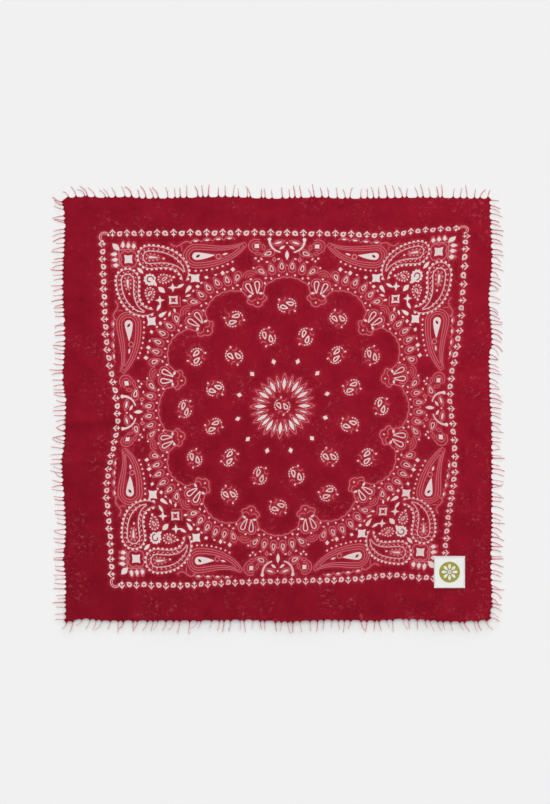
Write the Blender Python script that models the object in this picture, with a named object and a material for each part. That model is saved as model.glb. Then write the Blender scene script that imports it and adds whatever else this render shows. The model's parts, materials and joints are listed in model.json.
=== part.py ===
"""Square bandana scarf of fine red wool, laid out flat.

The scarf is one woven square. Its four raw edges are drawn out into short twisted lashes, and a
woven label is sewn on near one corner. Sizes are in metres: X runs to the right along the near
edge, Y runs to the far edge and Z runs up from the surface that the scarf lies on. The origin is
the middle of the flat underside.
"""
import math
import random

import bmesh
import bpy
from mathutils import Vector

NAME = "bandana"

# The woven square
WIDTH = 0.600             # left edge to right edge
DEPTH = 0.595             # near edge to far edge
WALL = 0.0012             # thickness of the cloth where it lies smooth
CELLS = 48                # cells of the cloth's surface along each edge
SEAM = 0.0003             # gap that neighbouring pieces keep

# How far each raw edge stands out from the square, along the edge.
# Columns: place along the edge from 0 to 1, distance outwards
EDGE_WAVES = {
    "near": [(0.00, 0.0014), (0.05, -0.0026), (0.10, 0.0000), (0.30, 0.0000), (0.42, -0.0012),
             (0.52, 0.0012), (0.62, -0.0012), (0.72, 0.0000), (0.80, -0.0024), (0.92, 0.0014),
             (1.00, -0.0010)],
    "far": [(0.00, 0.0000), (0.05, 0.0012), (0.10, 0.0000), (0.14, 0.0012), (0.19, -0.0012),
            (0.38, 0.0012), (0.49, -0.0012), (0.60, 0.0004), (0.66, -0.0012), (0.85, 0.0002),
            (1.00, -0.0012)],
    "left": [(0.00, -0.0020), (0.10, -0.0020), (0.14, 0.0008), (0.21, -0.0020), (0.38, 0.0032),
             (0.43, -0.0008), (0.52, -0.0022), (0.57, 0.0020), (0.66, -0.0008), (0.80, 0.0020),
             (0.94, -0.0008), (1.00, 0.0020)],
    "right": [(0.00, -0.0014), (0.05, 0.0014), (0.14, 0.0000), (0.25, 0.0014), (0.43, 0.0014),
              (0.55, -0.0016), (0.62, -0.0026), (0.66, 0.0014), (0.76, -0.0026), (0.85, 0.0014),
              (1.00, -0.0014)],
}

# Soft creases that the cloth keeps from having been folded and carried, as low ridges.
# Columns: middle x, middle y, heading in degrees from +X, length, width, height
CREASES = [
    (-0.262, -0.017, 4.0, 0.105, 0.016, 0.0013),
    (-0.280, 0.160, -5.0, 0.060, 0.016, 0.0010),
    (-0.272, -0.074, 8.0, 0.085, 0.020, 0.0009),
    (-0.276, -0.145, -3.0, 0.070, 0.022, 0.0007),
    (0.272, 0.268, -52.0, 0.040, 0.014, 0.0012),
    (0.281, 0.249, -22.0, 0.030, 0.014, 0.0012),
    (0.196, -0.268, -15.0, 0.070, 0.018, 0.0010),
    (-0.057, -0.268, 80.0, 0.060, 0.030, 0.0007),
    (0.090, -0.270, 70.0, 0.050, 0.028, 0.0006),
    (0.276, -0.030, 6.0, 0.060, 0.024, 0.0008),
    (-0.112, -0.052, 48.0, 0.150, 0.036, 0.0009),
    (-0.150, 0.262, -12.0, 0.110, 0.030, 0.0006),
    (0.120, 0.130, -35.0, 0.160, 0.044, 0.0005),
]

# The fringe
STRIP = 0.0026            # width of the felted strip that carries the lashes
STRIP_BASE = 0.0003       # the strip and its lashes end this far above the surface
STRIP_TOP = 0.0012
LASH_LENGTH = 0.0118      # from the strip to the tip
LASH_SPREAD = 0.14        # how much the lengths differ, as a share
LASH_LIFT = 0.0006        # how far a lash arches up along its middle
LEAN_SPREAD = 7.0         # how much the leans differ, in degrees
# Cross-sections along a lash.
# Columns: share of the length, half width, half height, share of the lean, share of the lift
LASH_SECTIONS = [
    (0.22, 0.00085, 0.00040, 0.55, 0.6),
    (1.00, 0.00040, 0.00028, 1.10, 0.0),
]
# Each edge is divided where the cloth's cells meet it and so many times between. Every second
# division carries a lash, so the wefts along the left and right edges stand closer.
DIVISIONS = {"near": 2, "far": 2, "left": 3, "right": 3}
# How the lashes lean, towards +X on the near and far edges and towards +Y on the others.
# Columns: place along the edge from 0 to 1, lean in degrees
LEANS = {
    "near": [(0.00, -48), (0.09, -28), (0.16, -15), (0.20, -34), (0.30, -22), (0.40, -4),
             (0.55, 4), (0.68, 0), (0.78, 14), (0.88, 28), (1.00, 46)],
    "far": [(0.00, -56), (0.10, -50), (0.14, -35), (0.25, -27), (0.30, -4), (0.47, -6),
            (0.56, -20), (0.64, -16), (0.69, 0), (0.81, -8), (0.88, -28), (0.93, 10),
            (1.00, 45)],
    "left": [(0.00, -14), (0.10, 4), (0.25, 6), (0.38, 12), (0.50, -4), (0.62, 4),
             (0.75, -10), (0.90, -12), (0.96, 12), (1.00, 34)],
    "right": [(0.00, -40), (0.10, -24), (0.30, -20), (0.40, -12), (0.52, -18), (0.66, -30),
              (0.80, -30), (0.90, -14), (1.00, -30)],
}

# The sewn label
LABEL_X, LABEL_Y = 0.2428, -0.2298    # its middle
LABEL_WIDTH = 0.0438
LABEL_DEPTH = 0.0452
LABEL_THICKNESS = 0.0007
LABEL_CELLS = 4

RED = (0.262, 0.009, 0.024, 1.0)
WHITE = (0.870, 0.870, 0.860, 1.0)


def clear_scene():
    for obj in list(bpy.data.objects):
        bpy.data.objects.remove(obj, do_unlink=True)


def read_table(rows, place):
    """Value at a place in a two-column table, passing smoothly from row to row."""
    for (start, low), (end, high) in zip(rows, rows[1:]):
        if place <= end:
            share = (place - start) / (end - start)
            share = share * share * (3.0 - 2.0 * share)
            return low + (high - low) * share
    return rows[-1][1]


def cloth_point(across, along):
    """Point of the square: across runs 0 to 1 from left to right, along from near to far."""
    left = -WIDTH / 2 - read_table(EDGE_WAVES["left"], along)
    right = WIDTH / 2 + read_table(EDGE_WAVES["right"], along)
    near = -DEPTH / 2 - read_table(EDGE_WAVES["near"], across)
    far = DEPTH / 2 + read_table(EDGE_WAVES["far"], across)
    return left + (right - left) * across, near + (far - near) * along


def cloth_top(x, y):
    """Height of the cloth's upper face, with its creases."""
    height = WALL
    for middle_x, middle_y, heading, length, width, rise in CREASES:
        angle = math.radians(heading)
        run = (x - middle_x) * math.cos(angle) + (y - middle_y) * math.sin(angle)
        side = (y - middle_y) * math.cos(angle) - (x - middle_x) * math.sin(angle)
        height += rise * math.exp(-(2 * run / length) ** 2 - (2 * side / width) ** 2)
    return height


def plain_material(name, colour, roughness):
    material = bpy.data.materials.new(name)
    material.use_nodes = True
    shader = material.node_tree.nodes["Principled BSDF"]
    shader.inputs["Base Color"].default_value = colour
    shader.inputs["Roughness"].default_value = roughness
    shader.inputs["Metallic"].default_value = 0.0
    return material


def finish_part(bm, name, material, collection):
    """Turn the faces outwards and put the solid in the scene as one object."""
    bmesh.ops.recalc_face_normals(bm, faces=bm.faces[:])
    mesh = bpy.data.meshes.new(name)
    bm.to_mesh(mesh)
    bm.free()
    mesh.materials.append(material)
    collection.objects.link(bpy.data.objects.new(name, mesh))


def raise_grid(bm, top_height):
    """Give a flat grid its wall: a copy of it rises to top_height(x, y) and the rim closes it."""
    grown = bmesh.ops.extrude_face_region(bm, geom=bm.faces[:])
    for item in grown["geom"]:
        if isinstance(item, bmesh.types.BMVert):
            item.co.z = top_height(item.co.x, item.co.y)


def make_cloth(material, collection):
    """The woven square: a creased upper face over one flat underside."""
    bm = bmesh.new()
    bmesh.ops.create_grid(bm, x_segments=CELLS, y_segments=CELLS, size=0.5)
    for vert in bm.verts:
        x, y = cloth_point(vert.co.x + 0.5, vert.co.y + 0.5)
        vert.co = (x, y, 0.0)
    underside = bm.faces[:]
    raise_grid(bm, cloth_top)
    joined = bmesh.ops.dissolve_faces(bm, faces=underside)
    bmesh.ops.poke(bm, faces=joined["region"])
    finish_part(bm, "cloth", material, collection)


def lash_direction(side, lean):
    """Unit vector of a lash that leans along the edge by so many degrees."""
    out, along = math.cos(math.radians(lean)), math.sin(math.radians(lean))
    return {"near": Vector((along, -out, 0.0)), "far": Vector((along, out, 0.0)),
            "left": Vector((-out, along, 0.0)), "right": Vector((out, along, 0.0))}[side]


def rim_point(side, place):
    """Corner of one of the cloth's cells, or any other place, on one of its raw edges."""
    if side in ("near", "far"):
        return Vector((*cloth_point(place, 0.0 if side == "near" else 1.0), 0.0))
    return Vector((*cloth_point(0.0 if side == "left" else 1.0, place), 0.0))


def edge_point(side, place, out):
    """Point beside a raw edge, which is straight between the corners of the cloth's cells."""
    cell = min(int(place * CELLS + 1e-6), CELLS - 1)
    start, end = rim_point(side, cell / CELLS), rim_point(side, (cell + 1) / CELLS)
    return start.lerp(end, place * CELLS - cell) + lash_direction(side, 0.0) * out


def grow_lash(bm, root, side, lean, length):
    """Draw one lash out of a face of the strip, through its cross-sections."""
    centre = root.calc_center_median()
    face = root
    for share, half_width, half_height, lean_share, lift_share in LASH_SECTIONS:
        forward = lash_direction(side, lean * lean_share)
        across = Vector((-forward.y, forward.x, 0.0))
        middle = centre + forward * (length * share)
        middle.z = STRIP_BASE + half_height + LASH_LIFT * lift_share
        order = [(vert.co - face.calc_center_median()) for vert in face.verts]
        face = bmesh.ops.extrude_discrete_faces(bm, faces=[face])["faces"][0]
        for vert, offset in zip(face.verts, order):
            sideways = half_width if offset.dot(across) > 0 else -half_width
            upwards = half_height if offset.z > 0 else -half_height
            vert.co = middle + across * sideways + Vector((0.0, 0.0, upwards))


def make_fringe(side, material, collection):
    """One edge's fringe: a felted strip beside the cloth with its lashes drawn out of it."""
    rng = random.Random("lashes " + side)
    steps = CELLS * DIVISIONS[side]
    bm = bmesh.new()
    bmesh.ops.create_grid(bm, x_segments=steps, y_segments=1, size=0.5)
    for vert in bm.verts:
        out = SEAM if vert.co.y < 0 else SEAM + STRIP
        vert.co = edge_point(side, vert.co.x + 0.5, out)
        vert.co.z = STRIP_BASE
    raise_grid(bm, lambda x, y: STRIP_TOP)
    bmesh.ops.recalc_face_normals(bm, faces=bm.faces[:])
    bm.faces.ensure_lookup_table()
    outwards = lash_direction(side, 0.0)
    along_axis = 0 if side in ("near", "far") else 1
    outer = [face for face in bm.faces if face.normal.dot(outwards) > 0.7]
    outer.sort(key=lambda face: face.calc_center_median()[along_axis])
    for number, root in enumerate(outer[::2]):
        place = (2 * number + 0.5) / steps
        lean = read_table(LEANS[side], place) + rng.uniform(-LEAN_SPREAD, LEAN_SPREAD)
        length = LASH_LENGTH * (1.0 + rng.uniform(-LASH_SPREAD, LASH_SPREAD))
        grow_lash(bm, root, side, lean, length)
    finish_part(bm, "fringe_" + side, material, collection)


def make_label(material, collection):
    """The woven label, made from the cloth's upper face moved out by the seam."""
    bm = bmesh.new()
    bmesh.ops.create_grid(bm, x_segments=LABEL_CELLS, y_segments=LABEL_CELLS, size=0.5)
    for vert in bm.verts:
        x = LABEL_X + vert.co.x * LABEL_WIDTH
        y = LABEL_Y + vert.co.y * LABEL_DEPTH
        vert.co = (x, y, cloth_top(x, y) + SEAM)
    raise_grid(bm, lambda x, y: cloth_top(x, y) + SEAM + LABEL_THICKNESS)
    finish_part(bm, "label", material, collection)


clear_scene()
parts = bpy.data.collections.new(NAME)
bpy.context.scene.collection.children.link(parts)
make_cloth(plain_material("red_wool", RED, 0.92), parts)
for edge in DIVISIONS:
    make_fringe(edge, plain_material("red_lashes_" + edge, RED, 0.90), parts)
make_label(plain_material("label_weave", WHITE, 0.75), parts)
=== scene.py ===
"""Looks of a square bandana of fine red wool, laid out flat.

One woven square carries a white screen print of paisleys, a round medallion and a border of
arrows. Its four raw edges are drawn out into twisted lashes, and a white woven label is sewn on
near one corner, with a green round and a white rosette. Object sizes are in metres, and the print
is drawn in millimetres about its middle.
"""
import json
import math
import random

import bpy
import numpy as np
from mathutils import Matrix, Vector
from mathutils.geometry import delaunay_2d_cdt
from mathutils.kdtree import KDTree

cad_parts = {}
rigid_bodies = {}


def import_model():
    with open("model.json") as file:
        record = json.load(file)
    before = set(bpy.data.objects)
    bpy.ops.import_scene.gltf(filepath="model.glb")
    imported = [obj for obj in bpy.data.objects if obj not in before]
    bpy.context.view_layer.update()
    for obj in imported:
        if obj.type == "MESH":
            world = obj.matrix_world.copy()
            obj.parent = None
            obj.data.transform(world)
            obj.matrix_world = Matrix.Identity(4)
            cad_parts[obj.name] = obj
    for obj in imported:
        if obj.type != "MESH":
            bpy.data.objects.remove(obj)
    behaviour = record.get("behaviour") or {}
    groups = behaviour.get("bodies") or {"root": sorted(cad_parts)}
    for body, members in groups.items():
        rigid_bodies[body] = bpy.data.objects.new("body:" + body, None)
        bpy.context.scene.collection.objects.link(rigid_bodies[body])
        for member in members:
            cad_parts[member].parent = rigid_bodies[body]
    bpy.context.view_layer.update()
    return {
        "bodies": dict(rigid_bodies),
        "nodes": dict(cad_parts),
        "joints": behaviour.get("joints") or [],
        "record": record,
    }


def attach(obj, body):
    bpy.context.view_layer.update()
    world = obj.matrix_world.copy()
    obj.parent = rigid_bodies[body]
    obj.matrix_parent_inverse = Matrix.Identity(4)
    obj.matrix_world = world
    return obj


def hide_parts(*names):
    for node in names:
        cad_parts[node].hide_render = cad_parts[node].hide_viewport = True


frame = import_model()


# ---------------------------------------------------------------- the woven square: its form
# One square of thin wool, woven in one piece with four raw edges. It was carried folded, so it
# keeps low creases, and its near edge has not settled flat.

MM = 0.001
WIDTH, DEPTH = 0.600, 0.595
WALL = 0.0005
UNDERSIDE = 0.0001        # the cloth's underside, just clear of the table
OUTWARDS = {"near": (0.0, -1.0), "far": (0.0, 1.0), "left": (-1.0, 0.0), "right": (1.0, 0.0)}

EDGE_OUT = {"near": 0.0008, "far": 0.0008, "left": 0.0, "right": 0.0008}
# How far each raw edge waves out from there. Columns: place along the edge, distance out
EDGE_WAVES = {
    "near": [(0.00, 0.0014), (0.05, -0.0026), (0.10, 0.0000), (0.30, 0.0000), (0.42, -0.0012),
             (0.52, 0.0012), (0.62, -0.0012), (0.72, 0.0000), (0.80, -0.0024), (0.92, 0.0014),
             (1.00, -0.0010)],
    "far": [(0.00, 0.0000), (0.05, 0.0012), (0.10, 0.0000), (0.14, 0.0012), (0.19, -0.0012),
            (0.38, 0.0012), (0.49, -0.0012), (0.60, 0.0004), (0.66, -0.0012), (0.85, 0.0002),
            (1.00, -0.0012)],
    "left": [(0.00, -0.0020), (0.10, -0.0020), (0.14, 0.0008), (0.21, -0.0020), (0.38, 0.0032),
             (0.43, -0.0008), (0.52, -0.0022), (0.57, 0.0020), (0.66, -0.0008), (0.80, 0.0020),
             (0.94, -0.0008), (1.00, 0.0020)],
    "right": [(0.00, -0.0014), (0.05, 0.0014), (0.14, 0.0000), (0.25, 0.0014), (0.43, 0.0014),
              (0.55, -0.0016), (0.62, -0.0026), (0.66, 0.0014), (0.76, -0.0026), (0.85, 0.0014),
              (1.00, -0.0014)],
}
# Columns: middle x, middle y, heading in degrees from +X, length, width, height
CREASES = [
    (-0.262, -0.017, 4.0, 0.105, 0.016, 0.0022),
    (-0.280, 0.160, -5.0, 0.060, 0.016, 0.0014),
    (-0.272, -0.074, 8.0, 0.085, 0.020, 0.0014),
    (-0.276, -0.145, -3.0, 0.070, 0.022, 0.0011),
    (0.272, 0.266, -52.0, 0.040, 0.012, 0.0022),
    (0.281, 0.247, -22.0, 0.030, 0.012, 0.0022),
    (0.196, -0.268, -15.0, 0.070, 0.018, 0.0015),
    (-0.057, -0.268, 80.0, 0.060, 0.030, 0.0010),
    (0.090, -0.270, 70.0, 0.050, 0.028, 0.0009),
    (0.276, -0.030, 6.0, 0.060, 0.024, 0.0012),
    (-0.112, -0.052, 48.0, 0.150, 0.036, 0.0012),
    (-0.150, 0.262, -12.0, 0.110, 0.030, 0.0008),
    (0.120, 0.130, -35.0, 0.160, 0.044, 0.0007),
]
# The near edge stands a little off the table. Columns: place along the edge, height
NEAR_LIFT = [(0.00, 0.0034), (0.12, 0.0030), (0.26, 0.0042), (0.42, 0.0032), (0.55, 0.0043),
             (0.70, 0.0031), (0.86, 0.0040), (1.00, 0.0034)]
LIFT_REACH = 0.055        # how far in from the near edge the lift dies out


def read_table(rows, place):
    """Values at places in a two-column table, passing smoothly from row to row."""
    place = np.asarray(place, float)
    value = np.where(place <= rows[0][0], rows[0][1], rows[-1][1]).astype(float)
    for (start, low), (end, high) in zip(rows, rows[1:]):
        share = np.clip((place - start) / (end - start), 0.0, 1.0)
        share = share * share * (3.0 - 2.0 * share)
        value = np.where((place > start) & (place <= end), low + (high - low) * share, value)
    return value


def edge_of_square(side, place, out):
    """Points on one raw edge of the square, moved outwards."""
    place = np.asarray(place, float)
    reach = read_table(EDGE_WAVES[side], place) + out + EDGE_OUT[side]
    if side in ("near", "far"):
        return np.column_stack([(place - 0.5) * WIDTH, OUTWARDS[side][1] * (DEPTH / 2 + reach)])
    return np.column_stack([OUTWARDS[side][0] * (WIDTH / 2 + reach), (place - 0.5) * DEPTH])


def lift(x, y):
    """How far the cloth stands off the table along its near edge."""
    edge = np.clip((y + DEPTH / 2) / LIFT_REACH, 0.0, 1.0)
    return read_table(NEAR_LIFT, x / WIDTH + 0.5) * (1.0 - edge) ** 2


def cloth_top(x, y):
    """Height of the cloth's upper face."""
    x, y = np.asarray(x, float), np.asarray(y, float)
    height = WALL + lift(x, y)
    for middle_x, middle_y, heading, length, width, rise in CREASES:
        angle = math.radians(heading)
        run = (x - middle_x) * math.cos(angle) + (y - middle_y) * math.sin(angle)
        side = (y - middle_y) * math.cos(angle) - (x - middle_x) * math.sin(angle)
        height = height + rise * np.exp(-(2 * run / length) ** 2 - (2 * side / width) ** 2)
    return height


# Where the raw edges are drawn out into lashes. The edge flares to each root and hollows between.
LASHES_ON = {"near": 60, "far": 60, "left": 90, "right": 88}
ROOT_FLARE = 0.0033
FLARE_DIES = 0.0013       # how far along the edge a flare dies away
HOLLOW = 0.0007
FRAY = 0.00012            # how rough the edge is
EDGE_POINTS = 520         # points along each edge, besides those at the lashes' roots
LASH_LENGTH = 0.0128
# Columns: place along the edge, lean in degrees, towards +X or +Y
LEANS = {
    "near": [(0.00, -48), (0.09, -28), (0.16, -15), (0.20, -34), (0.30, -22), (0.40, -4),
             (0.55, 4), (0.68, 0), (0.78, 14), (0.88, 28), (1.00, 46)],
    "far": [(0.00, -56), (0.10, -50), (0.14, -35), (0.25, -27), (0.30, -4), (0.47, -6),
            (0.56, -20), (0.64, -16), (0.69, 0), (0.81, -8), (0.88, -28), (0.93, 10),
            (1.00, 45)],
    "left": [(0.00, -14), (0.10, 4), (0.25, 6), (0.38, 12), (0.50, -4), (0.62, 4),
             (0.75, -10), (0.90, -12), (0.96, 12), (1.00, 34)],
    "right": [(0.00, -40), (0.10, -24), (0.30, -20), (0.40, -12), (0.52, -18), (0.66, -30),
              (0.80, -30), (0.90, -14), (1.00, -30)],
}


def plan_lashes(side):
    """Each lash of one edge as (place, lean, length, thickness)."""
    rng = random.Random("lashes of the " + side + " edge")
    count = LASHES_ON[side]
    lashes = []
    for number in range(count):
        place = (number + 0.5 + rng.uniform(-0.34, 0.34)) / count
        lean = float(read_table(LEANS[side], place)) + rng.gauss(0.0, 13.0)
        length = LASH_LENGTH * rng.uniform(0.72, 1.22)
        thickness = rng.choice([0.75, 0.9, 1.0, 1.0, 1.15, 1.35])
        lashes.append((place, lean, length, thickness))
    return lashes


LASHES = {side: plan_lashes(side) for side in LASHES_ON}


def edge_reach(side, place):
    """How far the worn edge stands out at each place: hollow between the roots, flared at them."""
    span = WIDTH if side in ("near", "far") else DEPTH
    reach = np.full(place.shape, -HOLLOW)
    for root, _, _, thickness in LASHES[side]:
        gap = np.abs(place - root) * span
        flare = (ROOT_FLARE * thickness + HOLLOW) * np.exp(-gap / FLARE_DIES)
        reach = np.maximum(reach, -HOLLOW + flare)
    return reach


def raw_outline():
    """The worn outline of the square, anticlockwise from its near left corner."""
    rng = np.random.default_rng(7)
    sides = []
    for side in ("near", "right", "far", "left"):
        roots = [lash[0] for lash in LASHES[side]]
        places = np.concatenate([np.arange(0.004, 0.996, 1.0 / EDGE_POINTS), roots])
        places = np.unique(np.round(places, 5))
        fray = rng.normal(0.0, FRAY, places.shape)
        line = edge_of_square(side, places, edge_reach(side, places) + fray)
        sides.append(line if side in ("near", "right") else line[::-1])
    return np.vstack(sides)


# ---------------------------------------------------------------- the woven square: its print
# Screen printed in white on the dyed cloth. The printed square is drawn true, and on_cloth() lays
# it where the cloth's stretch has carried it.

ROW = 250.0               # from the middle of the print to its border, in mm

# The print lies a little askew on the cloth: where the corners of its border come, in mm
CORNERS = {"near_left": (-233, -247), "near_right": (234, -238),
           "far_left": (-246, 247), "far_right": (267, 251)}
# Where the cloth was drawn in or out under the border.
# Columns: side, place along it from 0 to 1, how far out, how far along, half its length as a share
BENDS = [
    ("left", 0.26, 4.5, 2.0, 0.09), ("left", 0.50, -15.0, -6.5, 0.13), ("right", 0.33, 5.0, -12.0, 0.12),
    ("right", 0.56, -9.5, -6.0, 0.11), ("right", 0.93, 0.0, 10.0, 0.07), ("near", 0.20, 3.0, 3.0, 0.12),
    ("near", 0.84, -5.5, -2.0, 0.08), ("far", 0.14, 0.0, -4.5, 0.10), ("far", 0.62, -2.5, 5.0, 0.16),
    ("far", 0.76, -5.0, 3.0, 0.09),
]
MIDDLE_SHIFT = (1.5, 1.0)  # how far the medallion lies off, in mm
CENTRE_LEAN = 0.07        # how much its middle leans to the right


def on_cloth(points):
    """Where points of the printed square come on the cloth, in mm from its middle."""
    u, v = points[:, 0], points[:, 1]
    s = np.clip(u / (2 * ROW) + 0.5, -0.05, 1.05)
    t = np.clip(v / (2 * ROW) + 0.5, -0.05, 1.05)
    shares = {"near_left": (1 - s) * (1 - t), "near_right": s * (1 - t),
              "far_left": (1 - s) * t, "far_right": s * t}
    x, y = (sum(share * CORNERS[name][axis] for name, share in shares.items()) for axis in (0, 1))
    towards = {"far": 2 * t - 1, "near": 1 - 2 * t, "right": 2 * s - 1, "left": 1 - 2 * s}
    for side, place, out, along_it, half in BENDS:
        upright = side in ("left", "right")
        share = np.exp(-(((t if upright else s) - place) / half) ** 2)
        share = share * np.clip(towards[side], 0, 1) ** 2
        x = x + share * (out * OUTWARDS[side][0] if upright else along_it)
        y = y + share * (along_it if upright else out * OUTWARDS[side][1])
    away = (u * u + v * v) / ROW ** 2
    middle = np.clip(1 - away ** 3, 0, 1)
    x = x + MIDDLE_SHIFT[0] * middle + CENTRE_LEAN * v * np.exp(-3.7 * away)
    y = y + MIDDLE_SHIFT[1] * middle
    return np.column_stack([x, y])


FINE, FULL = 0.62, 1.0    # how much ink a thin line and a broad shape carry
PRESS = 0.91              # how wide a line or a dot prints, against its drawn width


def smooth(points, spacing, closed=False):
    """Points along a smooth curve through the given ones. Any further columns run along with them."""
    p = np.asarray(points, float)
    count = len(p)
    rows = []
    for i in range(count if closed else count - 1):
        before = p[i - 1] if closed or i else 2 * p[0] - p[1]
        start, end = p[i], p[(i + 1) % count]
        after = p[(i + 2) % count] if closed or i + 2 < count else 2 * p[-1] - p[-2]
        steps = max(2, round(math.dist(start[:2], end[:2]) / spacing))
        for t in np.arange(steps) / steps:
            rows.append(0.5 * (2 * start + (end - before) * t
                               + (2 * before - 5 * start + 4 * end - after) * t ** 2
                               + (3 * start - before - 3 * end + after) * t ** 3))
    if not closed:
        rows.append(p[-1])
    return np.array(rows)


def sideways(path, distance, closed=False):
    """The path moved to its left by a distance, or by one distance for each point."""
    if closed:
        ahead = np.roll(path, -1, 0) - np.roll(path, 1, 0)
    else:
        ahead = np.gradient(path, axis=0)
    ahead = ahead / np.maximum(np.linalg.norm(ahead, axis=1), 1e-9)[:, None]
    return path + np.column_stack([-ahead[:, 1], ahead[:, 0]]) * np.reshape(distance, (-1, 1))


def stroke(path, width, ink=FINE, closed=False):
    """A drawn line. The width may differ from point to point."""
    half = np.broadcast_to(np.asarray(width, float) / 2 * PRESS, (len(path),))
    left, right = sideways(path, half, closed), sideways(path, -half, closed)[::-1]
    return [(ink, [left, right] if closed else [np.vstack([left, right])])]


def placed(shapes, x=0.0, y=0.0, turn=0.0, flip=False, size=1.0):
    """Shapes mirrored left to right if asked, then turned by degrees and moved."""
    c, s = math.cos(math.radians(turn)) * size, math.sin(math.radians(turn)) * size
    matrix = np.array([[c, s], [-s, c]])
    if flip:
        matrix = np.array([[-1, 0], [0, 1]]) @ matrix
    return [(ink, [loop @ matrix + (x, y) for loop in loops]) for ink, loops in shapes]


def patch(points, x=0.0, y=0.0, turn=0.0, ink=FULL):
    """A solid shape."""
    return placed([(ink, [np.asarray(points, float)])], x, y, turn)


def blob(x, y, length, width, turn=0.0, ink=FULL, sides=8):
    """An oval dot, its length along the turn."""
    angles = np.arange(sides) * 2 * math.pi / sides
    ring = np.column_stack([np.cos(angles) * length, np.sin(angles) * width]) / 2 * PRESS
    return patch(ring, x, y, turn, ink)


def along(path, pitch):
    """Places a pitch apart along a path, as x, y and heading in degrees."""
    steps = np.linalg.norm(np.diff(path, axis=0), axis=1)
    run = np.concatenate([[0], np.cumsum(steps)])
    count = max(1, int(run[-1] / pitch))
    at = (np.arange(count) + 0.5) * run[-1] / count
    x, y = np.interp(at, run, path[:, 0]), np.interp(at, run, path[:, 1])
    which = np.clip(np.searchsorted(run, at) - 1, 0, len(steps) - 1)
    ahead = np.diff(path, axis=0)[which]
    return zip(x, y, np.degrees(np.arctan2(ahead[:, 1], ahead[:, 0])))


def beads(path, pitch, length, width, ink=FULL, sides=8):
    """A row of oval dots, their length along the path."""
    return [bead for x, y, turn in along(path, pitch)
            for bead in blob(x, y, length, width, turn, ink, sides)]


def teeth(path, pitch, height, ink):
    """Small triangles standing on the left of a path."""
    half = pitch * 0.42
    tooth = patch([(-half, -0.3), (half, -0.3), (0, height)], ink=ink)
    return [shape for x, y, turn in along(path, pitch) for shape in placed(tooth, x, y, turn)]


def body(spine, grow=0.0, spacing=2.2, tail_open=False):
    """Outline of a drop, leaf or paisley, from a spine of x, y and half width. The head is round."""
    rows = smooth(spine, spacing)
    path, half = rows[:, :2], np.maximum(rows[:, 2] + grow, 0.05)
    left, right = sideways(path, half), sideways(path, -half)[::-1]
    if half[0] < 0.5:
        return np.vstack([left, right])
    start = math.atan2(*(right[-1] - path[0])[::-1])
    steps = max(3, round(math.pi * half[0] / spacing))
    angles = start - np.arange(1, steps) * math.pi / steps
    cap = path[0] + np.column_stack([np.cos(angles), np.sin(angles)]) * half[0]
    return np.vstack([right, cap, left]) if tail_open else np.vstack([left, right, cap])


def drop(length, width):
    """A teardrop about the origin, round end down and tip up."""
    return body([(0, -length / 2 + width / 2, width / 2), (0, 0.08 * length, width * 0.40),
                 (0, length / 2, 0.0)])


def leaf(length, width):
    """A leaf about the origin, pointed at both ends, along Y."""
    return body([(0, -length / 2, 0.0), (0, -0.25 * length, width * 0.36), (0, 0, width / 2),
                 (0, 0.25 * length, width * 0.36), (0, length / 2, 0.0)])


def paisley_spine(length, head, turn, tip=0.3):
    """Spine of a paisley, which bends more and more from its round head to its tip."""
    share = np.linspace(0, 1, 9)
    heading = np.radians(turn) * share ** 1.6
    ahead = np.column_stack([np.cos(heading), np.sin(heading)])[:-1] * length / 8
    path = np.vstack([[0, 0], np.cumsum(ahead, 0)])
    return np.column_stack([path, tip + (head - tip) * (1 - share ** 1.5)])


def arc(radius, start, end, x=0.0, y=0.0, count=9):
    """Part of a circle, from one angle to another in degrees."""
    angles = np.radians(np.linspace(start, end, count))
    return np.column_stack([x + radius * np.cos(angles), y + radius * np.sin(angles)])


def scallops(start, end, count, height, steps=5):
    """A row of equal humps from one point to another, standing on the left of the way."""
    start, end = np.array(start, float), np.array(end, float)
    along_it = (end - start) / np.linalg.norm(end - start)
    left = np.array([-along_it[1], along_it[0]])
    run = np.linspace(0, 1, count * steps + 1)
    rise = height * np.abs(np.sin(math.pi * run * count))
    return start + run[:, None] * (end - start) + rise[:, None] * left


def from_middle(radius, angle):
    """The place at a radius, and at an angle in degrees from straight up."""
    return radius * math.sin(math.radians(angle)), radius * math.cos(math.radians(angle))


def diamond(width, height):
    return np.array([(0, height / 2), (width / 2, 0), (0, -height / 2), (-width / 2, 0)])


def star(size, dip=0.84):
    """A four-cornered star with hollow sides."""
    half = size / 2
    corners = np.array([(-half, half), (half, half), (half, -half), (-half, -half)])
    sides = (corners + np.roll(corners, -1, 0)) / 2
    return np.stack([corners, sides * dip], 1).reshape(-1, 2)


def hollow_drop(length, width, line, ink, spacing):
    """The outline of a teardrop, drawn as a line."""
    return stroke(smooth(drop(length, width)[::2], spacing, closed=True), line, ink, closed=True)


# ---------------------------------------------------------------- the print: border
# A single row round the printed square, of arrows that point outwards with a tilted hollow drop
# between each two, turned at the corners by a hollow crescent.

def border_arrow():
    roof = stroke(np.array([(-4.5, 1), (0, 6), (4.5, 1)]), [1.9, 2.3, 1.9], 0.95)
    stem = stroke(np.array([(0, 5), (0, 0)]), 1.5, 0.85)
    return roof + stem + patch(star(5.2, 0.6), 0, -2, 45)


def border_ring(turn):
    """A small hollow drop."""
    rim = body([(0, -0.5, 4), (0, 2, 3), (0, 5, 0)], spacing=1.5)
    angles = np.arange(10) * 2 * math.pi / 10
    return placed([(0.92, [rim, np.column_stack([1.2 * np.cos(angles), 1.8 * np.sin(angles)])])], turn=turn)


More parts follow.
